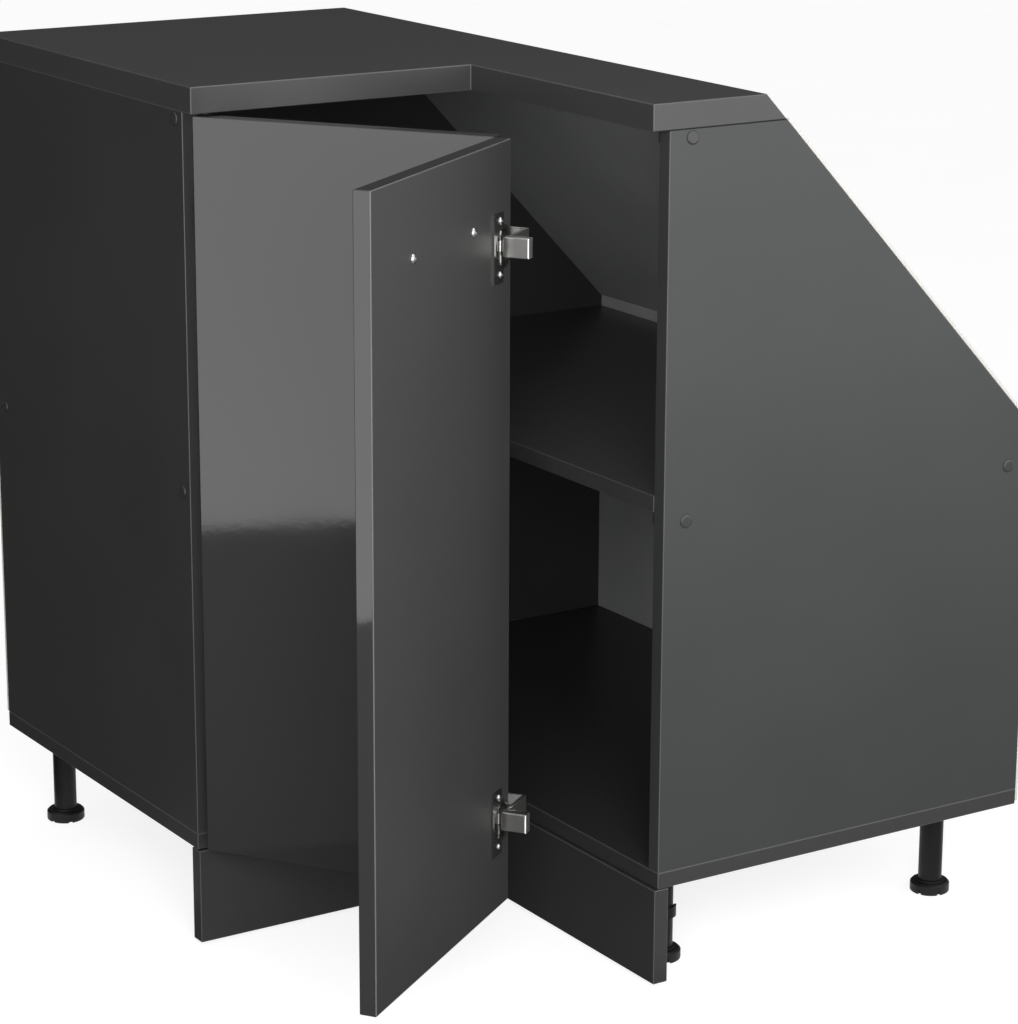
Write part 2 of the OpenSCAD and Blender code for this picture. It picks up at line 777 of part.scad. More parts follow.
// Tail of an arm: two walls, a web and the block that clamps on the plate
module arm_tail_channel(wall_x, web_x, web_y) {
    for (side = [-1, 1])
        block([wall_x, plate_t + 1, side < 0 ? -arm_out : arm_in], [arm_tail, web_y, side < 0 ? -arm_in : arm_out]);
    block([web_x, web_y - arm_wall, -arm_out], [arm_tail, web_y, arm_out]);
    block([48, hump_top, -arm_out], [58, web_y, arm_out]);
}

module swing_hinge_arm(z) {
    pin = [arm_pin[1] - front_y, arm_pin[0] - board_t];
    color(nickel) place() on_side_panel(z) {
        arm_tail_channel(5, pin[0] + 8, pin[1] + 6.5);
        rod_z([pin[0], pin[1], -arm_out + sliver], pin_r, 2 * arm_out - 2 * sliver);
    }
}

// Cheek pair turning on the arm's pin; its far pin carries the outer link
module swing_inner_links() {
    color(nickel) place() for (z = hinge_z)
        translate([arm_pin[0], arm_pin[1], z]) rotate([0, 0, cup_pin_angle - door_open]) {
            for (side = [-1, 1]) difference() {
                union() {
                    rod_z([0, 0, side < 0 ? -cheek_z[1] : cheek_z[0]], eye_r, cheek_z[1] - cheek_z[0]);
                    rod_z([cup_pin_reach, 0, side < 0 ? -cheek_z[1] : cheek_z[0]], eye_r, cheek_z[1] - cheek_z[0]);
                    block([0, -eye_r + 0.6, side < 0 ? -cheek_z[1] : cheek_z[0]],
                          [cup_pin_reach, eye_r - 0.6, side < 0 ? -cheek_z[0] : cheek_z[1]]);
                }
                rod_z([0, 0, -arm_out], pin_r + pin_clear, 2 * arm_out);
            }
            rod_z([cup_pin_reach, 0, -cheek_z[1] + sliver], pin_r, 2 * (cheek_z[1] - sliver));
        }
}

// Strap with an eye at each end, along x
module strap(len, far_eye) {
    difference() {
        union() {
            rod_z([0, 0, -strap_z], eye_r - 0.2, 2 * strap_z);
            block([0, -strap_half, -strap_z], [len, strap_half, strap_z]);
            if (far_eye) rod_z([len, 0, -strap_z], eye_r - 0.2, 2 * strap_z);
        }
        rod_z([0, 0, -strap_z - 1], pin_r + pin_clear, 2 * strap_z + 2);
        if (far_eye) rod_z([len, 0, -strap_z - 1], pin_r + pin_clear, 2 * strap_z + 2);
    }
}

module swing_outer_links() {
    color(nickel) place() for (z = hinge_z)
        in_left_leaf() translate([cup_pin[0], cup_pin[1], z]) rotate([0, 0, door_open + ground_angle])
            strap(ground_len, true);
}

// Fold arm: channel on the left leaf, hook round the right leaf's edge, box for the strap
module fold_hinge_arm(z) {
    bx = fold_box_x;
    by = fold_box_y;
    color(nickel) place() at_fold() translate([0, 0, z]) {
        translate([0, board_t, 0]) mirror([1, 0, 0]) arm_tail_channel(10, -hook_x[1], 11);
        block([hook_x[0], by[1] - fold_box_wall, -arm_out], [hook_x[1], board_t + 11, arm_out]);
        difference() {
            block([bx[0], by[0], -arm_out], [bx[1], by[1], arm_out]);
            block([bx[0] - 1, by[0] + fold_box_wall, -arm_in], [bx[1] - fold_box_wall, by[1] - fold_box_wall, arm_in]);
        }
    }
}

module fold_links() {
    color(nickel) place() for (z = hinge_z)
        at_fold() translate([fold_pin[1], -fold_pin[0], z]) strap(strap_end - fold_pin[1], false);
}

// Bar handle on the right leaf's outer face
handle_mid = (fold_gap + right_leaf_w) / 2;
handle_z = leaf_top - handle_drop;
handle_over = 8;
post_r = 4.5;

module handle() {
    color(steel) place() in_right_leaf() difference() {
        union() {
            rod_x([handle_mid - handle_gap / 2 - handle_over, -handle_reach, handle_z], handle_r,
                  handle_gap + 2 * handle_over);
            for (side = [-1, 1])
                rod_y([handle_mid + side * handle_gap / 2, -handle_reach, handle_z], post_r, handle_reach);
        }
        for (side = [-1, 1])
            rod_y([handle_mid + side * handle_gap / 2, -15, handle_z], hinge_screw_r + screw_clear, 16);
    }
}

module handle_screws() {
    color(steel) place() in_right_leaf() for (side = [-1, 1])
        translate([handle_mid + side * handle_gap / 2, board_t, handle_z]) rotate([-90, 0, 0])
            screw(4.6, 2.2, hinge_screw_r, board_t + 14);
}

worktop();
left_side_panel();
right_end_panel();
bottom_panel();
shelf();
rear_wall_panel();
rear_back_sheet();
right_back_sheet();
sloped_back_sheet();
left_worktop_batten();
right_worktop_batten();
rear_worktop_batten();
left_shelf_batten();
right_shelf_batten();
rear_shelf_batten();
batten_screws();
worktop_screws();
cover_caps();
panel_dowels();
back_sheet_nails();
left_plinth();
right_plinth();
plinth_corner_bracket();
plinth_bracket_screws();
plinth_clips();
leg(0);  // leg_1
leg(1);  // leg_2
leg(2);  // leg_3
leg(3);  // leg_4
leg(4);  // leg_5
leg(5);  // leg_6
leg_screws();
foot(0);  // foot_1
foot(1);  // foot_2
foot(2);  // foot_3
foot(3);  // foot_4
foot(4);  // foot_5
foot(5);  // foot_6
swing_hinge_plates();
swing_hinge_arm(hinge_z[1]);  // swing_hinge_arm_upper
swing_hinge_arm(hinge_z[0]);  // swing_hinge_arm_lower
swing_plate_screws();
swing_inner_links();
swing_outer_links();
left_door_leaf();
swing_hinge_cup(hinge_z[1]);  // swing_hinge_cup_upper
swing_hinge_cup(hinge_z[0]);  // swing_hinge_cup_lower
swing_cup_screws();
fold_hinge_plates();
fold_hinge_arm(hinge_z[1]);  // fold_hinge_arm_upper
fold_hinge_arm(hinge_z[0]);  // fold_hinge_arm_lower
fold_plate_screws();
right_door_leaf();
fold_hinge_cup(hinge_z[1]);  // fold_hinge_cup_upper
fold_hinge_cup(hinge_z[0]);  // fold_hinge_cup_lower
fold_cup_screws();
fold_links();
handle();
handle_screws();
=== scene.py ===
# %% [markdown]
# # A corner kitchen cabinet for a room with a sloped ceiling
#
# The exact solids of this cabinet come from CAD: boards, battens, hinges, feet and screws. This lesson
# dresses them for a picture. Every board gets softened edges and a melamine surface, the screws get
# domed heads with a cross recess, and a small photo studio is built around the cabinet. Lengths are
# metres. The origin lies on the floor, under the middle of the cabinet's box.

import json
import math

import bmesh
import bpy
import numpy as np
from mathutils import Matrix, Vector

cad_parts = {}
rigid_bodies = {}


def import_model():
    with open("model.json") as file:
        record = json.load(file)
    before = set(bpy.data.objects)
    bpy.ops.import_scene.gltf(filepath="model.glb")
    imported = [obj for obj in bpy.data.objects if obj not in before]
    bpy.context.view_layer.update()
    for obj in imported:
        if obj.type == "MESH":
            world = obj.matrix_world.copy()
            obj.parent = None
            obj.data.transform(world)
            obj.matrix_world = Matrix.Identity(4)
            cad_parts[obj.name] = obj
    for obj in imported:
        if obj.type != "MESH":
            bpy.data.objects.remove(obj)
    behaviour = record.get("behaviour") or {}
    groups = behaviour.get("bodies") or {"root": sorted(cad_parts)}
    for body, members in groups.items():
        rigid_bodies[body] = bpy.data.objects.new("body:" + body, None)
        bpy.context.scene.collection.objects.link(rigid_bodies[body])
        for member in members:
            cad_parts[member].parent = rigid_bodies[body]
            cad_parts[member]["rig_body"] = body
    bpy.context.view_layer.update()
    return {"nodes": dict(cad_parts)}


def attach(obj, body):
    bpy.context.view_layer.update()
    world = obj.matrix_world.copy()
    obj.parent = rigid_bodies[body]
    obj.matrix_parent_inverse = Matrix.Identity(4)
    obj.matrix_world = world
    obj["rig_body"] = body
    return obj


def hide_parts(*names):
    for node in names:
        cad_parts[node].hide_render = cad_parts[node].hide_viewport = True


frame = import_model()
cad = frame["nodes"]

# %% [markdown]
# The photograph was taken from the front left, a little above the worktop. Its verticals are exactly
# parallel, which a camera only gives with a large lens shift. A plain camera that is tilted down comes
# close to it, so its place, direction and focal length were fitted to the cabinet's corners.
# A camera looks along its own -Z, so its matrix is built from right, up and the reverse of ahead.

# %% The camera
camera_place = Vector((-1.73893, -2.73169, 1.27690))
camera_turn, camera_tilt, camera_roll = -0.569491, 0.267109, 0.003714  # radians
fitted_lens = 117.655  # mm on a 36 mm wide sensor

ahead = Vector((-math.sin(camera_turn) * math.cos(camera_tilt),
                math.cos(camera_turn) * math.cos(camera_tilt),
                -math.sin(camera_tilt)))
level = Vector((math.cos(camera_turn), math.sin(camera_turn), 0))
upward = level.cross(ahead)
right = math.cos(camera_roll) * level + math.sin(camera_roll) * upward
up = -math.sin(camera_roll) * level + math.cos(camera_roll) * upward

camera = bpy.data.objects.new("camera", bpy.data.cameras.new("camera"))
camera.data.lens = fitted_lens
camera.data.sensor_width = 36
camera.data.clip_end = 60
camera.matrix_world = Matrix((right, up, -ahead)).transposed().to_4x4()
camera.location = camera_place
bpy.context.scene.collection.objects.link(camera)
bpy.context.scene.camera = camera
bpy.context.scene.view_settings.view_transform = "Standard"
print("camera tilts down by", round(math.degrees(camera_tilt), 1), "degrees")


# %% [markdown]
# A node material is a list of nodes and the wires between them. This small helper makes one wired
# shader, so that each finish below reads like a recipe.

# %% Helpers for materials
def new_material(name, base, roughness, metallic=0.0, ior=1.5):
    """A Principled shader with its plain values on its own sockets."""
    material = bpy.data.materials.new(name)
    material.use_nodes = True
    shader = material.node_tree.nodes["Principled BSDF"]
    shader.inputs["Base Color"].default_value = (*base, 1)
    shader.inputs["Roughness"].default_value = roughness
    shader.inputs["Metallic"].default_value = metallic
    shader.inputs["IOR"].default_value = ior
    material.diffuse_color = (*base, 1)
    return material


def node(material, kind, wires=None, **values):
    """One node. wires maps an input's name to another node's output."""
    made = material.node_tree.nodes.new(kind)
    for key, value in values.items():
        if key in made.inputs:
            made.inputs[key].default_value = value
        else:
            setattr(made, key, value)
    for key, output in (wires or {}).items():
        material.node_tree.links.new(output, made.inputs[key])
    return made


def place_on_object(material, stretch=(1, 1, 1), turn=(0, 0, 0)):
    """Object coordinates through a Mapping node."""
    where = node(material, "ShaderNodeTexCoord")
    mapping = node(material, "ShaderNodeMapping", {"Vector": where.outputs["Object"]})
    mapping.inputs["Scale"].default_value = stretch
    mapping.inputs["Rotation"].default_value = turn
    return mapping.outputs["Vector"]


def noise(material, where, scale, detail=3.0, roughness=0.5):
    """A grey noise; scale is about its swells per metre."""
    made = node(material, "ShaderNodeTexNoise", {"Vector": where},
                Scale=scale, Detail=detail, Roughness=roughness)
    return made.outputs["Fac"]


def ramp(material, factor, *stops):
    """A colour ramp. Each stop is (position, colour or grey level)."""
    made = node(material, "ShaderNodeValToRGB", {"Fac": factor})
    elements = made.color_ramp.elements
    while len(elements) < len(stops):
        elements.new(0.5)
    for element, (position, colour) in zip(elements, stops):
        element.position = position
        element.color = (*colour, 1) if isinstance(colour, tuple) else (colour,) * 3 + (1,)
    return made.outputs["Color"]


def wire(material, output, socket):
    """Leads an output to the shader's own socket."""
    material.node_tree.links.new(output, material.node_tree.nodes["Principled BSDF"].inputs[socket])


def bump(material, height, distance):
    """Turns a height into a tilt of the surface; distance is the height of a crest in metres."""
    made = node(material, "ShaderNodeBump", {"Height": height}, Strength=1.0, Distance=distance)
    return made.outputs["Normal"]


# %% [markdown]
# ## The boards' melamine
#
# The carcass is chipboard in dark grey melamine paper. Its press plate leaves a fine pearl texture,
# a shallow roughness without direction, about half a millimetre from crest to crest. Two noises
# give it: a fine one as bump, and a slow one that shifts grey and gloss by a few percent, because a
# sheet is never quite even. The board's long edges carry a glued band. Its small rounds are painted
# pale, a painted highlight that draws the thin line of light a round edge catches.
# The end panel's paper leans a little to green, so melamine takes a cast for red, green and blue.
# The rounds in the seam under the worktop are painted near black, as painted shade, because no light
# reaches into a joint.

# %% Melamine for boards and worktop
def melamine(name, grey, roughness, pearl, distance, cast=(1, 1, 0.985)):
    """pearl is the scale of the press plate's texture, distance its depth."""
    tint = tuple(grey * c for c in cast)
    darker, lighter = tuple(0.93 * c for c in tint), tuple(1.07 * c for c in tint)
    material = new_material(name, tint, roughness)
    where = place_on_object(material)
    cloud = noise(material, where, 7.0, 4.0)
    wire(material, ramp(material, cloud, (0.3, darker), (0.7, lighter)), "Base Color")
    fine = noise(material, where, pearl, 2.0)
    swing = 0.035
    gloss = ramp(material, fine, (0.3, roughness - swing), (0.7, roughness + swing))
    wire(material, gloss, "Roughness")
    wire(material, bump(material, fine, distance), "Normal")
    return material


board_finish = melamine("dark grey melamine", 0.0265, 0.40, 1100.0, 0.00003)
end_finish = melamine("end panel melamine", 0.0285, 0.40, 1100.0, 0.00003, cast=(0.95, 1.05, 1.02))
worktop_finish = melamine("worktop laminate", 0.026, 0.34, 900.0, 0.00004)
# Painted light: the edge band's grey is a little lighter, for the light the upright faces catch.
worktop_band_painted_lighter = melamine("worktop edge band painted lighter", 0.035, 0.36, 1100.0, 0.00003, cast=(0.99, 1.01, 1.0))
# A painted highlight: the worktop's rounds are painted pale to draw a line of light.
worktop_arris_highlight = melamine("painted worktop arris highlight", 0.065, 0.30, 1500.0, 0.00004)
# Painted shade: the rounds in the seam under the worktop are painted near black.
seam_shade = melamine("painted seam shade", 0.004, 0.8, 1500.0, 0.00004)
# Painted light: the shelf is painted lighter, for the front light that rakes over it.
shelf_painted_lighter = melamine("shelf melamine painted lighter", 0.036, 0.30, 1100.0, 0.00003)
batten_finish = melamine("batten melamine", 0.036, 0.45, 1100.0, 0.00003)
# A painted highlight: the boards' rounds are painted pale to draw a line of light.
edge_highlight_band = melamine("painted edge highlight band", 0.06, 0.35, 1500.0, 0.00004)
print("boards' finishes:", [m.name for m in bpy.data.materials])

# %% [markdown]
# ## The doors' lacquer
#
# The outer faces and edges of the leaves are high gloss: the studio's walls show in them with a
# crisp edge. Pressed gloss foil has a slight orange peel, a swell of a few millimetres that makes
# reflected edges waver. The inner faces are plain matt melamine, and the small round next to that
# face is painted pale, a painted highlight as on the boards.

# %% Door front and door back
door_front = new_material("door gloss", (0.0225, 0.0225, 0.0222), 0.05, ior=1.52)
where = place_on_object(door_front)
peel = noise(door_front, where, 160.0, 1.0)
wire(door_front, bump(door_front, peel, 0.00001), "Normal")
smear = noise(door_front, where, 5.0, 3.0)
wire(door_front, ramp(door_front, smear, (0.35, 0.035), (0.7, 0.075)), "Roughness")
door_back = melamine("door inside melamine", 0.0225, 0.46, 1100.0, 0.00003)
# A painted highlight: the rounds next to a leaf's inner face are painted pale.
door_edge_highlight = melamine("painted door edge highlight", 0.10, 0.3, 1500.0, 0.00004)

# %% [markdown]
# ## Hardboard, wood, plastic and metal
#
# The back sheets are 3 mm hardboard, left pale grey outside, where the pressed fibres show as
# flecks. Inside they get a light grey print, painted light enough to stand in for light that the
# dim sloped sheet doesn't get. The legs are black polypropylene, moulded with a fine grain, which is
# less shiny than most plastics, so its specular level is low. The hinges are nickel plated, and their
# cups get a darker copy of the nickel, painted shade for the dark they reflect. The screws are bright,
# and the handle is brushed stainless steel.

# %% Hardboard and wood
def fibres(name, light, dark, scale=420.0):
    """Pressed or grown fibres: fine flecks over slow clouds, both between light and dark."""
    material = new_material(name, light, 0.62)
    where = place_on_object(material)
    fleck = noise(material, where, scale, 5.0, 0.65)
    flecks = ramp(material, fleck, (0.35, dark), (0.62, light))
    clouds = ramp(material, noise(material, where, 9.0, 2.0), (0.3, dark), (0.7, light))
    colour = node(material, "ShaderNodeMixRGB", {"Color1": flecks, "Color2": clouds}, Fac=0.25)
    wire(material, colour.outputs["Color"], "Base Color")
    wire(material, bump(material, fleck, 0.00008), "Normal")
    return material


sheet_outside = fibres("hardboard outside", (0.58, 0.57, 0.545), (0.47, 0.458, 0.43))
# Painted light: the inner print is a light grey that stands in for light on the dim sloped sheet.
sheet_inside = melamine("hardboard inside print painted lighter", 0.35, 0.45, 900.0, 0.00003, cast=(0.99, 1, 1))
dowel_wood = fibres("birch dowel", (0.56, 0.42, 0.27), (0.44, 0.31, 0.18), 900.0)


# %% Black plastic
def moulded(name, grey, roughness, grain=1500.0, specular=0.5):
    """Plastic with a mould's fine grain, and a gloss that handling has made uneven."""
    material = new_material(name, (grey, grey, grey * 1.03), roughness, ior=1.49)
    material.node_tree.nodes["Principled BSDF"].inputs["Specular IOR Level"].default_value = specular
    where = place_on_object(material)
    fine = noise(material, where, grain, 2.0)
    wire(material, bump(material, fine, 0.00004), "Normal")
    handled = noise(material, where, 60.0)
    wire(material, ramp(material, handled, (0.3, roughness - 0.05), (0.7, roughness + 0.05)), "Roughness")
    return material


leg_plastic = moulded("black leg plastic", 0.007, 0.45, specular=0.22)
cap_plastic = moulded("cover cap plastic", 0.027, 0.27)


# %% Metals
def metal(name, colour, roughness, scratches=(900.0, 900.0, 900.0), depth=0.00001, spread=0.06):
    """scratches is the grain's scale along each axis, spread is how far the roughness swings."""
    material = new_material(name, colour, roughness, metallic=1.0)
    where = place_on_object(material, scratches)
    grain = noise(material, where, 1.0, 3.0, 0.6)
    gloss = ramp(material, grain, (0.3, roughness - spread), (0.7, roughness + spread))
    wire(material, gloss, "Roughness")
    wire(material, bump(material, grain, depth), "Normal")
    return material


nickel = metal("nickel plate", (0.74, 0.73, 0.71), 0.31, depth=0.000003, spread=0.03)
# Painted shade: a darker copy of the nickel for the hinge cups, for the dark they reflect.
nickel_painted_shade = metal("nickel plate painted in shade", (0.30, 0.30, 0.29), 0.28, depth=0.000001, spread=0.02)
zinc = metal("zinc plate", (0.55, 0.55, 0.56), 0.33, spread=0.1)
screw_plate = metal("screw plating", (0.52, 0.52, 0.53), 0.15, depth=0.000003, spread=0.03)
handle_steel = metal("brushed steel", (0.60, 0.60, 0.59), 0.3, (2500.0, 2500.0, 60.0))
print(len(bpy.data.materials), "materials so far")

# %% [markdown]
# ## A small photo studio
#
# The floor is pale. To the camera, and in reflections, it glows white with a faint shadow, and as a
# lamp it is a mid grey, so that it doesn't flood the cabinet from below. The air does the same: white
# to the eye, a softer grey as light. The Light Path node tells which rays ask.

# %% The floor
def seen_directly(material):
    """1 for a ray from the camera, from a reflection or through a clear body, and 0 for any other."""
    asks = node(material, "ShaderNodeLightPath").outputs
    seen = node(material, "ShaderNodeMath", {0: asks["Is Camera Ray"], 1: asks["Is Glossy Ray"]},
                operation="ADD")
    seen = node(material, "ShaderNodeMath", {0: seen.outputs[0], 1: asks["Is Transmission Ray"]},
                operation="ADD", use_clamp=True)
    return seen.outputs[0]


bpy.ops.object.select_all(action="DESELECT")
bpy.ops.mesh.primitive_plane_add(size=60)
floor = bpy.context.object
floor.name = "floor"
floor_paint = new_material("floor paint", (0.4, 0.4, 0.4), 0.9)
tree = floor_paint.node_tree
tree.nodes.remove(tree.nodes["Principled BSDF"])
seen = seen_directly(floor_paint)
grey = ramp(floor_paint, noise(floor_paint, place_on_object(floor_paint), 3.0), (0.3, 0.29), (0.7, 0.31))
lit = node(floor_paint, "ShaderNodeBsdfDiffuse", {"Color": grey})
floor_glow = 0.81
glow = node(floor_paint, "ShaderNodeEmission", Strength=floor_glow)
white = node(floor_paint, "ShaderNodeAddShader", {0: lit.outputs[0], 1: glow.outputs[0]})
paint = node(floor_paint, "ShaderNodeMixShader", {0: seen, 1: lit.outputs[0], 2: white.outputs[0]})
tree.links.new(paint.outputs[0], tree.nodes["Material Output"].inputs["Surface"])
floor.data.materials.append(floor_paint)
print("floor:", floor.name, "glows at", floor_glow)

# %% The air around
world = bpy.data.worlds.new("studio air")
bpy.context.scene.world = world
world.use_nodes = True
air = world.node_tree.nodes["Background"]
air.inputs["Color"].default_value = (1, 1, 1, 1)
air_as_lamp, air_as_seen = 0.50, 1.0
strength = node(world, "ShaderNodeMapRange", {"Value": seen_directly(world)},
                **{"To Min": air_as_lamp, "To Max": air_as_seen})
world.node_tree.links.new(strength.outputs[0], air.inputs["Strength"])
print("air:", air_as_lamp, "as a lamp,", air_as_seen, "where it is seen")

# %% [markdown]
# Two soft walls of light stand on the floor, one to the left and one in front, because the
# photograph's glossy door shows such a wall with a crisp foot, and its dark boards are bright where
# they face the front. A ceiling of light gives the worktop its sheen. The left wall and the ceiling
# show in gloss only, and a fill lamp from the camera's side lights matt surfaces only, so that each
# can be set without spoiling the other. An area light's watts follow from the radiance of its face:
# radiance times pi times area.

# %% Soft walls of light
def soft_wall(name, centre, aim, width, height, radiance, shines="all"):
    """An area light that looks towards aim, with this radiance on its face."""
    light = bpy.data.lights.new(name, "AREA")
    light.shape = "RECTANGLE"
    light.size, light.size_y = width, height
    light.energy = radiance * math.pi * width * height
    made = bpy.data.objects.new(name, light)
    made.rotation_euler = Vector(aim).to_track_quat("-Z", "Y").to_euler()
    made.location = centre
    made.visible_camera = False
    made.visible_diffuse = shines != "in gloss"
    made.visible_glossy = shines != "on matt"
    bpy.context.scene.collection.objects.link(made)


soft_wall("left wall", (-1.86, -0.6, 1.15), (1, 0, 0), 1.55, 2.3, 1.68, "in gloss")
soft_wall("front wall", (0.6, -2.35, 1.15), (0, 1, 0), 4.9, 2.3, 1.38)
soft_wall("ceiling", (0.2, -0.4, 2.9), (0, 0, -1), 2.2, 2.2, 1.8, "in gloss")
soft_wall("fill", (-1.5, -2.5, 1.3), (1.65, 2.5, -0.8), 1.4, 1.4, 13.5, "on matt")


# %% [markdown]
# As photographers do, dark cards stand where a reflection should stay dark: on the floor to the left
# and in front, in the notch of the cabinet, and behind it. They show in reflections only and cast no
# shadow.

# %% Dark cards
def dark_card(name, centre, aim, width, height, grey):
    """A matt card that looks towards aim and shows in reflections only."""
    bpy.ops.object.select_all(action="DESELECT")
    bpy.ops.mesh.primitive_plane_add(size=1)
    card = bpy.context.object
    card.name = name
    card.scale = (width, height, 1)
    card.rotation_euler = Vector(aim).to_track_quat("Z", "Y").to_euler()
    card.location = centre
    paper = new_material(name + " paper", (grey, grey, grey), 0.9)
    cloud = noise(paper, place_on_object(paper), 4.0)
    wire(paper, ramp(paper, cloud, (0.3, grey * 0.95), (0.7, grey * 1.05)), "Base Color")
    card.data.materials.append(paper)
    card.visible_camera = card.visible_diffuse = card.visible_shadow = card.visible_transmission = False


dark_card("floor card left", (-1.12, 0.4, 0.002), (0, 0, 1), 1.5, 5.0, 0.16)
dark_card("side floor card", (-1.4, 1.6, 0.003), (0, 0, 1), 2.1, 2.6, 0.03)
dark_card("floor card front", (0.9, -1.3, 0.002), (0, 0, 1), 2.5, 2.0, 0.3)
dark_card("rear card", (1.5, 2.3, 1.5), (-0.539, -0.842, 0), 7.0, 3.2, 0.08)
dark_card("side card", (-2.0, 2.2, 1.5), (0.6, -0.8, 0), 4.0, 3.2, 0.04)
dark_card("notch card", (-0.3, -0.2, 0.003), (0, 0, 1), 0.6, 0.6, 0.05)


# %% [markdown]
# ## Boards with softened edges
#
# A real board has no knife edge: its edge band is rounded by about 0.8 mm, and that small round
# catches a thin line of light, which is what makes a board look like a board. The shape itself is
# right already, so each board is copied from its CAD node. The copy's loose triangles are merged,
# flat areas are joined, and the sharp edges are selected and bevelled. Edges shorter than a few
# millimetres, such as those round a screw's bore, are left out, because they would hold back the
# bevel of all others. Weighted normals then keep the flat faces flat next to the rounds.

# %% A copy with eased edges
def only(piece):
    """Selects this piece alone and makes it the active one."""
    bpy.ops.object.select_all(action="DESELECT")
    piece.select_set(True)
    bpy.context.view_layer.objects.active = piece


def eased_copy(name, ease, finish, segments=3, shortest=None, sharp=30, edge=None, face_round=None):
    """A new piece from CAD node name. Its edges sharper than sharp degrees, and not shorter than
    shortest, are bevelled by ease metres, and get the finish edge if there is one. face_round is
    (direction, radius): the border of the face that reaches furthest that way is rounded first."""
    mesh = cad[name].data.copy()
    mesh.name = name + "_dressed"
    mesh.materials.clear()
    piece = bpy.data.objects.new(name + "_dressed", mesh)
    bpy.context.scene.collection.objects.link(piece)
    mesh.materials.append(finish)
    if edge:
        mesh.materials.append(edge)
    only(piece)
    bpy.ops.object.mode_set(mode="EDIT")
    bpy.ops.mesh.select_mode(type="VERT")
    bpy.ops.mesh.select_all(action="SELECT")
    bpy.ops.mesh.remove_doubles(threshold=1e-6)
    bpy.ops.mesh.dissolve_limited(angle_limit=math.radians(0.5))
    bpy.ops.mesh.select_mode(type="EDGE")
    if face_round:
        bpy.ops.mesh.select_all(action="DESELECT")
        shell = bmesh.from_edit_mesh(mesh)
        furthest = max(v.co.dot(face_round[0]) for v in shell.verts)
        for rim in shell.edges:
            on_face = all(v.co.dot(face_round[0]) > furthest - 1e-4 for v in rim.verts)
            rim.select_set(on_face and rim.calc_face_angle(0) > 1)
        bmesh.update_edit_mesh(mesh)
        bpy.ops.mesh.bevel(offset=face_round[1], segments=5, profile=0.5, affect="EDGES",
                           clamp_overlap=True)
    bpy.ops.mesh.select_all(action="DESELECT")
    bpy.ops.mesh.edges_select_sharp(sharpness=math.radians(sharp))
    if shortest:
        shell = bmesh.from_edit_mesh(mesh)
        for corner in shell.edges:
            if corner.calc_length() < shortest:
                corner.select_set(False)
        bmesh.update_edit_mesh(mesh)
    bpy.ops.mesh.bevel(offset=ease, segments=segments, profile=0.5, affect="EDGES", clamp_overlap=True,
                       material=1 if edge else -1)
    bpy.ops.object.mode_set(mode="OBJECT")
    bpy.ops.object.shade_smooth_by_angle(angle=math.radians(28))
    weighted = piece.modifiers.new("flat faces stay flat", "WEIGHTED_NORMAL")
    weighted.keep_sharp, weighted.weight = True, 100
    bpy.ops.object.modifier_apply(modifier=weighted.name)
    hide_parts(name)
    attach(piece, cad[name]["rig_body"])
    return piece


# %% [markdown]
# The worktop's upright edges carry an edge band, painted a little lighter as painted light for the
# light those faces catch, and its rounds are painted pale as a painted highlight. The seams between
# worktop and end panel are in deep shade, so the small rounds that meet there get painted shade,
# a near black.

# %% Worktop
board_ease, worktop_ease = 0.0008, 0.001
bore_edge = 0.004  # edges shorter than this stay sharp
seam_reach = 0.002  # how far a seam's rounds lie from the board's end
worktop = eased_copy("worktop", worktop_ease, worktop_finish,
                     shortest=bore_edge, edge=worktop_arris_highlight)
worktop.data.materials.append(worktop_band_painted_lighter)
worktop.data.materials.append(seam_shade)
worktop_end = min(v.co.y for v in worktop.data.vertices)
# Index 1 holds the painted highlight, 2 the band painted lighter, 3 the painted seam shade.
for face in worktop.data.polygons:
    upright = abs(face.normal.z) < 0.1 and face.area > 0.001
    in_the_seam = -0.95 < face.normal.z < -0.1 and face.center.y < worktop_end + seam_reach
    if upright or in_the_seam:
        face.material_index = 2 if upright else 3
print("worktop:", len(worktop.data.polygons), "faces")

# %% [markdown]
# The carcass boards share one finish and one painted edge highlight. The shelf is painted a little
# lighter, as painted light for the front light that rakes over it, and the end panel has its own tint,
# with a band painted lighter on its face to the opening, as painted light, and painted shade in the seam.

# %% Carcass boards
# The shelf gets its finish painted lighter, as painted light.
own_finish = {"shelf": shelf_painted_lighter, "right_end_panel": end_finish}
boards = {n: eased_copy(n, board_ease, own_finish.get(n, board_finish),
                        shortest=bore_edge, edge=edge_highlight_band)
          for n in ("left_side_panel", "right_end_panel", "bottom_panel", "shelf", "rear_wall_panel",
                    "left_plinth", "right_plinth")}
end_panel = boards["right_end_panel"].data
end_panel.materials.append(worktop_band_painted_lighter)
end_panel.materials.append(seam_shade)
end_top = max(v.co.z for v in end_panel.vertices)
# The face to the opening gets the band painted lighter, and the seam's rounds get painted shade.
for face in end_panel.polygons:
    faces_the_opening = face.normal.x < -0.99
    in_the_seam = 0.1 < face.normal.z < 0.95 and face.center.z > end_top - seam_reach
    if faces_the_opening or in_the_seam:
        face.material_index = 2 if faces_the_opening else 3
print("boards:", list(boards), sum(len(b.data.polygons) for b in boards.values()), "faces")

# %% [markdown]
# Battens are sawn strips of the same board, screwed to the walls of the carcass. They carry the
# worktop and the shelf, and little of them is seen.

# %% Battens
batten_ease = 0.0005
batten_names = [f"{side}_{carries}_batten"
                for side in ("left", "right", "rear") for carries in ("worktop", "shelf")]
for name in batten_names:
    eased_copy(name, batten_ease, batten_finish, shortest=bore_edge)
print("battens:", batten_names)

# %% [markdown]
# A hardboard sheet is nailed on from behind. Its printed face looks into the cabinet, so the faces
# whose normal points inward get the print, and all others stay bare.

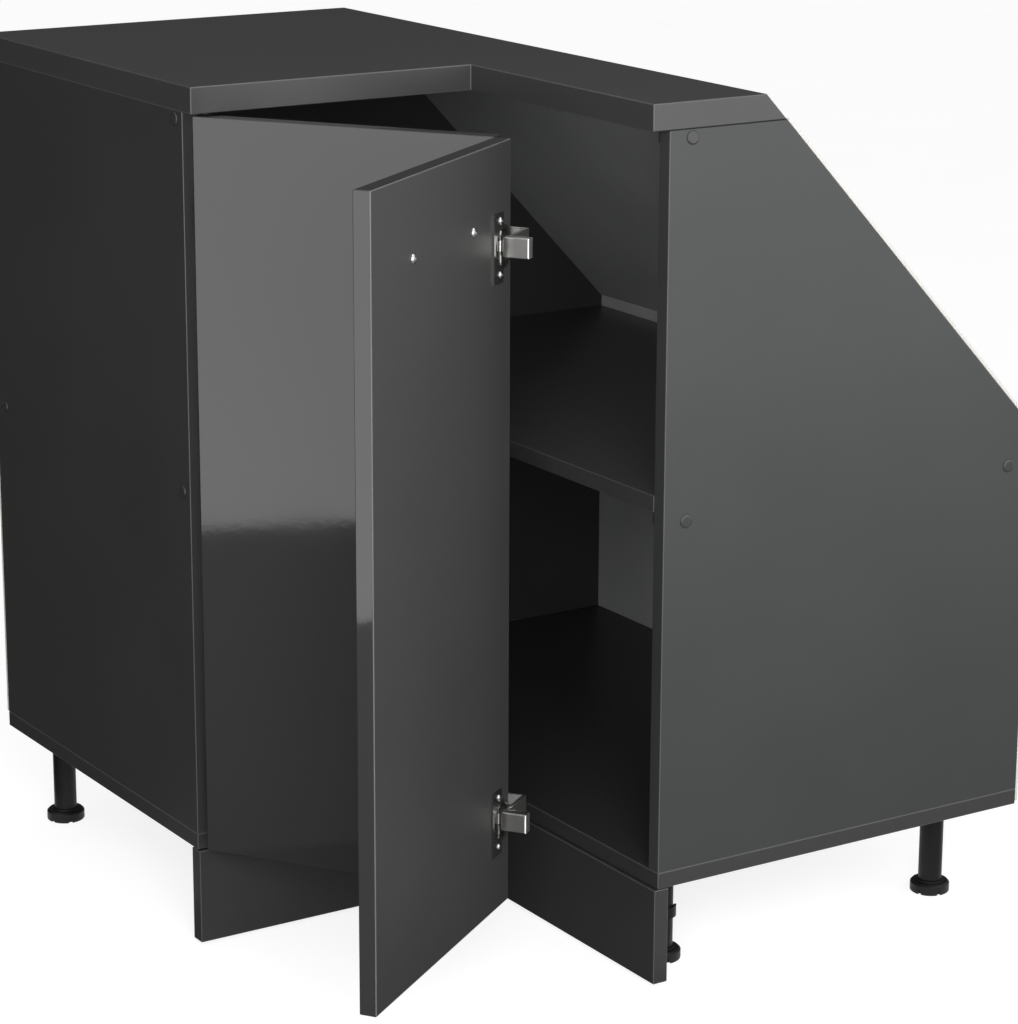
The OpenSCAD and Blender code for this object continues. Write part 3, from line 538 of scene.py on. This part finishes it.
# %% Hardboard sheets
sheet_ease = 0.0003
sheet_sides = {"rear_back_sheet": Vector((0, -1, 0)), "right_back_sheet": Vector((-1, 0, 0)),
               "sloped_back_sheet": Vector((-1, 0, -1))}
for name, inward in sheet_sides.items():
    sheet = eased_copy(name, sheet_ease, sheet_outside, segments=2, shortest=bore_edge)
    sheet.data.materials.append(sheet_inside)
    # The inner faces get the print painted lighter, as painted light.
    for face in sheet.data.polygons:
        if face.normal.dot(inward.normalized()) > 0.7:
            face.material_index = 1
print("sheets:", list(sheet_sides))

# %% [markdown]
# ## The two door leaves
#
# A leaf is one board with three finishes. Its faces know which way they look, so the inner face is
# picked by its normal and given the matt back, and the small round next to it a painted highlight.
# The photograph shows the door 55 degrees open, and the leaves stand square to each other.

# %% Door leaves
leaf_ease = 0.0011
opened = math.radians(-55)
leaf_inside = {"left_door_leaf": Vector((-math.sin(opened), math.cos(opened), 0)),
               "right_door_leaf": Vector((math.cos(opened), math.sin(opened), 0))}
for name, inward in leaf_inside.items():
    leaf = eased_copy(name, leaf_ease, door_front, segments=4, shortest=bore_edge)
    leaf.data.materials.append(door_back)
    leaf.data.materials.append(door_edge_highlight)
    # Index 2, the rounds next to the inner face, gets the painted highlight.
    for face in leaf.data.polygons:
        inner = face.normal.dot(inward)
        face.material_index = 1 if inner > 0.999 else 2 if inner > 0.3 and face.area < 0.002 else 0
    print(name, "has", len(leaf.data.polygons), "faces")

# %% [markdown]
# ## Screws and nails
#
# A pan head screw is a shallow dome with a cross recess. In the CAD model it is a plain stepped
# cylinder, which says where it sits and how long it is. So each screw's seat, direction and sizes
# are measured from its CAD solid, one screw of each size is modelled, and a copy is put in each place.
# The axis is the direction in which a screw's points spread most, and its head is the wider end.
# The head's height runs from its top to the underside that sits on the board, or a screw would stand
# on its neck like a mushroom.

# %% Measuring the CAD screws
def fastener_places(name):
    """For each loose solid of a CAD node: the head's top, the direction to the tip, and the sizes."""
    shell = bmesh.new()
    shell.from_mesh(cad[name].data)
    bmesh.ops.remove_doubles(shell, verts=shell.verts, dist=1e-6)
    waiting, places = set(shell.verts), []
    while waiting:
        island, front = set(), [next(iter(waiting))]
        while front:
            vert = front.pop()
            if vert in island:
                continue
            island.add(vert)
            front.extend(e.other_vert(vert) for e in vert.link_edges)
        waiting -= island
        points = np.array([v.co[:] for v in island])
        middle = points.mean(0)
        axis = np.linalg.svd(points - middle)[2][0]
        along = (points - middle) @ axis
        reach = np.linalg.norm(points - middle - along[:, None] * axis, axis=1)
        if reach[along > along.max() - 1e-4].max() > reach[along < along.min() + 1e-4].max():
            axis, along = -axis, -along
        top = middle + axis * along.min()
        seat = along[reach > reach.max() - 1e-4].max()
        shank = reach[along > along.max() - 1e-4].max()
        sizes = (reach.max(), seat - along.min(), shank, along.max() - seat)
        places.append((Vector(top), Vector(axis), tuple(round(float(v), 5) for v in sizes)))
    shell.free()
    return places


# %% [markdown]
# The head starts as a flat cylinder. Its top face is extruded and shrunk in five steps along a quarter
# of an ellipse, which rounds it to a dome that catches one bright spark, and its underside is inset
# and drawn out to the shank and the point. Two crossed boxes cut the recess.

# %% Helpers for modelling in edit mode
def pick(mesh, wanted):
    """Selects the faces for which wanted(face) is true."""
    bpy.ops.mesh.select_all(action="DESELECT")
    shell = bmesh.from_edit_mesh(mesh)
    shell.faces.ensure_lookup_table()
    for face in shell.faces:
        face.select_set(bool(wanted(face)))
    bmesh.update_edit_mesh(mesh)


def raise_by(height, shrink):
    """Extrudes the selected face straight up and shrinks it."""
    bpy.ops.mesh.extrude_region_move(TRANSFORM_OT_translate={"value": (0, 0, height)})
    bpy.ops.transform.resize(value=(shrink, shrink, 1))


# %% One modelled screw
dome_steps = [math.radians(angle) for angle in (0, 16, 32, 48, 62, 76)]
dome_share = 0.9  # of the head's height


def model_fastener(head_r, head_h, shank_r, length, cross):
    """Stands upright with its head's top at the origin. cross cuts the recess."""
    bpy.ops.object.select_all(action="DESELECT")
    rim = (1 - dome_share) * head_h
    bpy.ops.mesh.primitive_cylinder_add(vertices=24, radius=head_r, depth=rim,
                                        location=(0, 0, rim / 2 - head_h))
    made = bpy.context.object
    bpy.ops.object.transform_apply(location=True, rotation=False, scale=False)
    bpy.ops.object.mode_set(mode="EDIT")
    bpy.ops.mesh.select_mode(type="FACE")
    pick(made.data, lambda face: face.normal.z > 0.9)
    for low, high in zip(dome_steps, dome_steps[1:]):
        rise = (math.sin(high) - math.sin(low)) / math.sin(dome_steps[-1])
        raise_by(dome_share * head_h * rise, math.cos(high) / math.cos(low))
    pick(made.data, lambda face: face.normal.z < -0.9)
    bpy.ops.mesh.inset(thickness=head_r - shank_r)
    point = 1.5 * shank_r
    raise_by(point - length, 1.0)
    raise_by(-point, 0.3)
    bpy.ops.object.mode_set(mode="OBJECT")
    if cross:
        for turn in (0, math.pi / 2):
            bpy.ops.object.select_all(action="DESELECT")
            bpy.ops.mesh.primitive_cube_add(size=1, rotation=(0, 0, turn))
            cutter = bpy.context.object
            cutter.scale = (1.15 * head_r, 0.24 * head_r, 1.1 * head_h)
            only(made)
            cut = made.modifiers.new("cross", "BOOLEAN")
            cut.operation, cut.object, cut.solver = "DIFFERENCE", cutter, "EXACT"
            bpy.ops.object.modifier_apply(modifier=cut.name)
            bpy.data.objects.remove(cutter)
    bpy.ops.object.shade_smooth_by_angle(angle=math.radians(35))
    return made


# %% [markdown]
# All screws of one CAD node become one piece, as they are there.

# %% All screws and nails in their places
fastener_models = {}
for name in [n for n in cad if "screws" in n or "nails" in n]:
    copies = []
    for top, axis, sizes in fastener_places(name):
        if sizes not in fastener_models:
            fastener_models[sizes] = model_fastener(*sizes, cross="screws" in name)
        copy = bpy.data.objects.new(name + "_dressed", fastener_models[sizes].data.copy())
        stand = (-axis).to_track_quat("Z", "Y").to_matrix().to_4x4()
        copy.data.transform(Matrix.Translation(top) @ stand)
        bpy.context.scene.collection.objects.link(copy)
        copies.append(copy)
    bpy.ops.object.select_all(action="DESELECT")
    for copy in copies:
        copy.select_set(True)
    bpy.context.view_layer.objects.active = copies[0]
    bpy.ops.object.join()
    group = bpy.context.object
    group.name = group.data.name = name + "_dressed"
    group.data.materials.append(zinc if "nails" in name else screw_plate)
    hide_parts(name)
    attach(group, cad[name]["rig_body"])
for model in fastener_models.values():
    bpy.data.objects.remove(model)
print(len(fastener_models), "sizes of screw and nail")
print("radius, height, shank and length in mm:", [tuple(round(1000 * v, 2) for v in s) for s in fastener_models])

# %% [markdown]
# ## Hinges, legs and the small parts
#
# Pressed and moulded parts have no sharp edges either. Each is a copy of its CAD node with a small
# round: 0.3 mm on the plated sheet metal, 0.5 to 0.7 mm on legs, feet and cover caps. A bright rim is
# what shows that a hinge arm is metal, so the box at the arm's end has a larger round on the face that
# looks along the open leaf. A node that an earlier line has dressed is hidden, and isn't taken again.

# %% Small parts with eased edges
small_parts = [  # start of the node's name, round, finish, slot
    ("leg_", 0.0005, leg_plastic, "leg_plastic"), ("foot_", 0.0006, leg_plastic, "leg_plastic"),
    ("plinth_clips", 0.0003, leg_plastic, "leg_plastic"), ("plinth_corner_bracket", 0.0002, zinc, "fastener"),
    ("cover_caps", 0.0007, cap_plastic, "cap"), ("panel_dowels", 0.0004, dowel_wood, "dowel"),
    ("handle", 0.0004, handle_steel, "handle_metal"),
    # The hinge cups get the nickel painted in shade.
    ("swing_hinge_cup", 0.0003, nickel_painted_shade, "hinge_metal"),
    ("fold_hinge_cup", 0.0003, nickel_painted_shade, "hinge_metal"),
    ("swing_", 0.0003, nickel, "hinge_metal"), ("fold_hinge_arm", 0.0003, nickel, "hinge_metal"),
    ("fold_", 0.0003, nickel, "hinge_metal")]
leaf_run = Vector((math.sin(opened), -math.cos(opened), 0))
box_round = 0.0017
for start, ease, finish, slot in small_parts:
    for name in [n for n in cad if n.startswith(start) and not cad[n].hide_render]:
        face_round = (leaf_run, box_round) if start == "fold_hinge_arm" else None
        piece = eased_copy(name, ease, finish, segments=2, sharp=35, face_round=face_round)
        print(name, len(piece.data.polygons), end="; ")
print()

left_over = [n for n, shape in cad.items() if not shape.hide_render]
print("CAD nodes still shown:", left_over)
